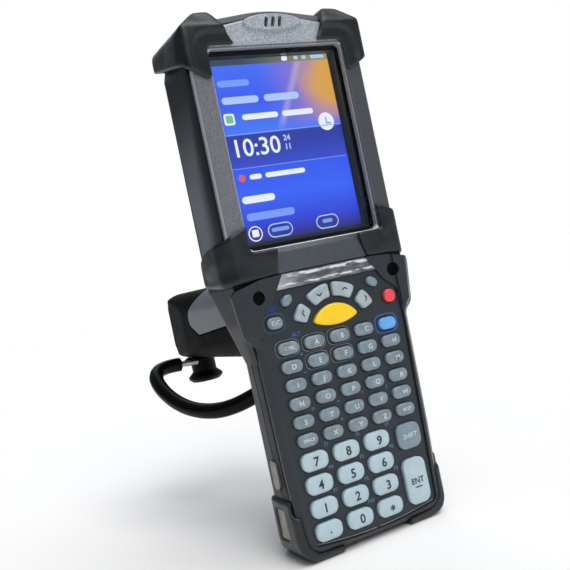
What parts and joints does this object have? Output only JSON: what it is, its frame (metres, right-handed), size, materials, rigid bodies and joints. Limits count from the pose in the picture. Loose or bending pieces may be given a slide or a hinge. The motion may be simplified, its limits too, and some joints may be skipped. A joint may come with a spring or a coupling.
{
  "type": "portable barcode data terminal",
  "caption": "Hand-held data terminal with a touch display, a keypad, rubber corners, a pistol grip with a trigger, a removable battery and a wrist strap.",
  "frame": {"origin": "middle of the flat that the two corner feet stand on", "axes": "+X to the right as the keys are faced, +Y from the face to the back and along the grip, +Z from the feet to the scan end"},
  "size_m": [0.0894, 0.1923, 0.2276],
  "materials": {
    "grey_metallic": "speckled satin",
    "plate_silver": "satin",
    "glass_window": "gloss",
    "rubber_black": "matte",
    "lcd_screen": "lit screen",
    "pcb_green": "matte",
    "black_plastic": "satin",
    "housing_grey": "satin",
    "steel": "satin",
    "steel_black": "satin",
    "scan_glass": "gloss",
    "metal_beige": "satin",
    "key_yellow": "satin",
    "key_red": "satin",
    "key_light": "satin",
    "key_silver": "satin",
    "key_grey": "satin",
    "key_blue": "satin",
    "overlay_dark": "satin",
    "frame_grey": "satin",
    "clear_lens": "gloss",
    "battery_case": "satin",
    "grip_grey": "satin",
    "strap_black": "woven"
  },
  "bodies": {
    "terminal": {"display_bezel": "grey_metallic", "front_plate": "plate_silver", "display_window": "glass_window", "display_gasket": "rubber_black", "lcd_module": "lcd_screen", "main_board": "pcb_green", "speaker": "black_plastic", "rear_housing": "housing_grey", "case_screws": "steel_black", "scan_bezel": "black_plastic", "scan_window": "scan_glass", "scan_engine": "black_plastic", "interface_connector": "black_plastic", "top_boot_left": "rubber_black", "top_boot_right": "rubber_black", "middle_boot_left": "rubber_black", "middle_boot_right": "rubber_black", "foot_boot_left": "rubber_black", "foot_boot_right": "rubber_black", "cradle_strikes": "metal_beige", "keypad_overlay": "overlay_dark", "key_mat": "rubber_black", "keypad_board": "pcb_green", "keypad_frame": "frame_grey", "light_bar": "clear_lens", "grip_shell_left": "grip_grey", "grip_shell_right": "grip_grey", "grip_sleeve": "rubber_black", "grip_screws": "steel_black", "trigger_pin": "steel", "trigger_switch": "pcb_green", "trigger_spring": "steel", "strap_post": "black_plastic", "strap_hitch": "steel", "wrist_strap": "strap_black"},
    "scan_key": {"scan_key": "key_yellow"},
    "power_key": {"power_key": "key_red"},
    "escape_key": {"escape_key": "key_light"},
    "up_key": {"up_key": "key_silver"},
    "down_key": {"down_key": "key_silver"},
    "left_key": {"left_key": "key_silver"},
    "right_key": {"right_key": "key_silver"},
    "side_keys": {"side_keys": "key_grey"},
    "function_key": {"function_key": "key_blue"},
    "shift_key": {"shift_key": "key_grey"},
    "enter_key": {"enter_key": "key_light"},
    "letter_row_1": {"letter_keys_1": "key_grey"},
    "letter_row_2": {"letter_keys_2": "key_grey"},
    "letter_row_3": {"letter_keys_3": "key_grey"},
    "letter_row_4": {"letter_keys_4": "key_grey"},
    "letter_row_5": {"letter_keys_5": "key_grey"},
    "letter_row_6": {"letter_keys_6": "key_grey"},
    "number_row_1": {"number_keys_1": "key_light"},
    "number_row_2": {"number_keys_2": "key_light"},
    "number_row_3": {"number_keys_3": "key_light"},
    "number_row_4": {"number_keys_4": "key_light"},
    "release_button_left": {"release_button_left": "metal_beige"},
    "release_button_right": {"release_button_right": "metal_beige"},
    "trigger": {"trigger": "black_plastic"},
    "battery_pack": {"battery_pack": "battery_case"}
  },
  "joints": [
    {"name": "scan_key_press", "type": "slide", "parent": "terminal", "child": "scan_key", "axis": [0, 1, 0], "range_m": [0, 0.0008], "stiffness_N_per_m": 600},
    {"name": "power_key_press", "type": "slide", "parent": "terminal", "child": "power_key", "axis": [0, 1, 0], "range_m": [0, 0.0008], "stiffness_N_per_m": 600},
    {"name": "escape_key_press", "type": "slide", "parent": "terminal", "child": "escape_key", "axis": [0, 1, 0], "range_m": [0, 0.0008], "stiffness_N_per_m": 600},
    {"name": "up_key_press", "type": "slide", "parent": "terminal", "child": "up_key", "axis": [0, 1, 0], "range_m": [0, 0.0008], "stiffness_N_per_m": 600},
    {"name": "down_key_press", "type": "slide", "parent": "terminal", "child": "down_key", "axis": [0, 1, 0], "range_m": [0, 0.0008], "stiffness_N_per_m": 600},
    {"name": "left_key_press", "type": "slide", "parent": "terminal", "child": "left_key", "axis": [0, 1, 0], "range_m": [0, 0.0008], "stiffness_N_per_m": 600},
    {"name": "right_key_press", "type": "slide", "parent": "terminal", "child": "right_key", "axis": [0, 1, 0], "range_m": [0, 0.0008], "stiffness_N_per_m": 600},
    {"name": "side_keys_press", "type": "slide", "parent": "terminal", "child": "side_keys", "axis": [0, 1, 0], "range_m": [0, 0.0008], "stiffness_N_per_m": 600},
    {"name": "function_key_press", "type": "slide", "parent": "terminal", "child": "function_key", "axis": [0, 1, 0], "range_m": [0, 0.0008], "stiffness_N_per_m": 600},
    {"name": "shift_key_press", "type": "slide", "parent": "terminal", "child": "shift_key", "axis": [0, 1, 0], "range_m": [0, 0.0008], "stiffness_N_per_m": 600},
    {"name": "enter_key_press", "type": "slide", "parent": "terminal", "child": "enter_key", "axis": [0, 1, 0], "range_m": [0, 0.0008], "stiffness_N_per_m": 600},
    {"name": "letter_row_1_press", "type": "slide", "parent": "terminal", "child": "letter_row_1", "axis": [0, 1, 0], "range_m": [0, 0.0008], "stiffness_N_per_m": 900},
    {"name": "letter_row_2_press", "type": "slide", "parent": "terminal", "child": "letter_row_2", "axis": [0, 1, 0], "range_m": [0, 0.0008], "stiffness_N_per_m": 900},
    {"name": "letter_row_3_press", "type": "slide", "parent": "terminal", "child": "letter_row_3", "axis": [0, 1, 0], "range_m": [0, 0.0008], "stiffness_N_per_m": 900},
    {"name": "letter_row_4_press", "type": "slide", "parent": "terminal", "child": "letter_row_4", "axis": [0, 1, 0], "range_m": [0, 0.0008], "stiffness_N_per_m": 900},
    {"name": "letter_row_5_press", "type": "slide", "parent": "terminal", "child": "letter_row_5", "axis": [0, 1, 0], "range_m": [0, 0.0008], "stiffness_N_per_m": 900},
    {"name": "letter_row_6_press", "type": "slide", "parent": "terminal", "child": "letter_row_6", "axis": [0, 1, 0], "range_m": [0, 0.0008], "stiffness_N_per_m": 900},
    {"name": "number_row_1_press", "type": "slide", "parent": "terminal", "child": "number_row_1", "axis": [0, 1, 0], "range_m": [0, 0.0008], "stiffness_N_per_m": 900},
    {"name": "number_row_2_press", "type": "slide", "parent": "terminal", "child": "number_row_2", "axis": [0, 1, 0], "range_m": [0, 0.0008], "stiffness_N_per_m": 900},
    {"name": "number_row_3_press", "type": "slide", "parent": "terminal", "child": "number_row_3", "axis": [0, 1, 0], "range_m": [0, 0.0008], "stiffness_N_per_m": 900},
    {"name": "number_row_4_press", "type": "slide", "parent": "terminal", "child": "number_row_4", "axis": [0, 1, 0], "range_m": [0, 0.0008], "stiffness_N_per_m": 900},
    {"name": "release_button_left_press", "type": "slide", "parent": "terminal", "child": "release_button_left", "axis": [1, 0, 0], "range_m": [0, 0.0015], "stiffness_N_per_m": 900},
    {"name": "release_button_right_press", "type": "slide", "parent": "terminal", "child": "release_button_right", "axis": [-1, 0, 0], "range_m": [0, 0.0015], "stiffness_N_per_m": 900},
    {"name": "trigger_pull", "type": "hinge", "parent": "terminal", "child": "trigger", "pos_m": [0, 0.037, 0.109], "axis": [-1, 0, 0], "range_deg": [0, 10], "stiffness_Nm_per_rad": 1.2, "deforming": ["trigger_spring"]},
    {"name": "battery_slide", "type": "slide", "parent": "terminal", "child": "battery_pack", "axis": [0, 0, -1], "range_m": [0, 0.075]}
  ]
}
